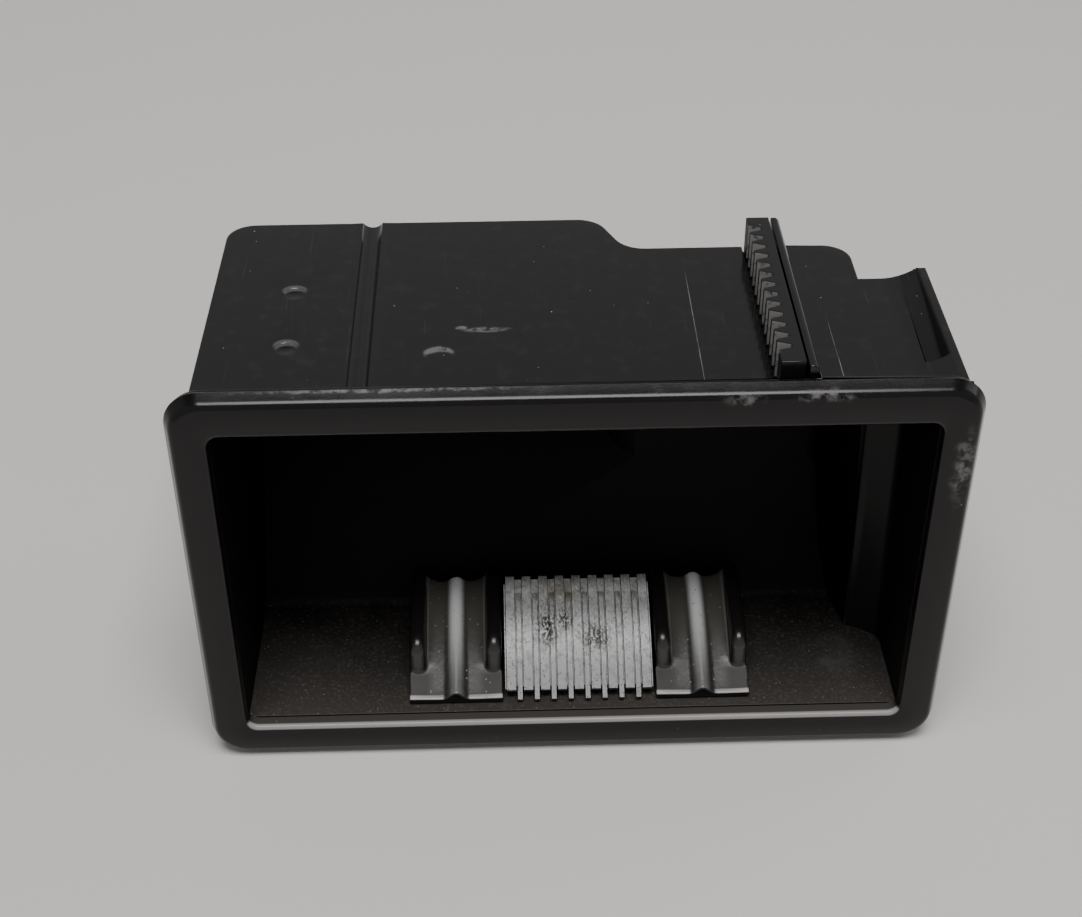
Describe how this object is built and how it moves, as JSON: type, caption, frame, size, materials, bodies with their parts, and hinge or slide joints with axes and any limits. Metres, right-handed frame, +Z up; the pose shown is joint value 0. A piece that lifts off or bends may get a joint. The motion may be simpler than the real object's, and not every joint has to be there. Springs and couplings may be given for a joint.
{
  "type": "ash receiver",
  "caption": "Pull-out car ash receiver: rounded front frame, stepped plastic tub with a guide rail and damper rack, cigarette rests and a ribbed steel snuffer",
  "frame": {"origin": "middle of the bounding box's bottom; the part stands on the long lower edge of its front frame", "axes": "+X along the front frame's long side, +Y from the open front to the back of the tub, +Z up"},
  "size_m": [0.13, 0.0628, 0.0797],
  "materials": {
    "tub_plastic": "gloss black moulded plastic, fine scratches and dust",
    "bezel_plastic": "satin black moulded plastic, worn grey patches on the edges",
    "rack_plastic": "black moulded plastic, bright worn tooth flanks",
    "rest_plastic": "gloss black plastic with ash dust",
    "snuffer_steel": "stamped steel, soot and tar spots"
  },
  "bodies": {
    "root": {"tub": "tub_plastic", "bezel_frame": "bezel_plastic", "damper_rack": "rack_plastic", "rest_left": "rest_plastic", "rest_right": "rest_plastic", "snuffer_comb": "snuffer_steel"}
  },
  "joints": []
}
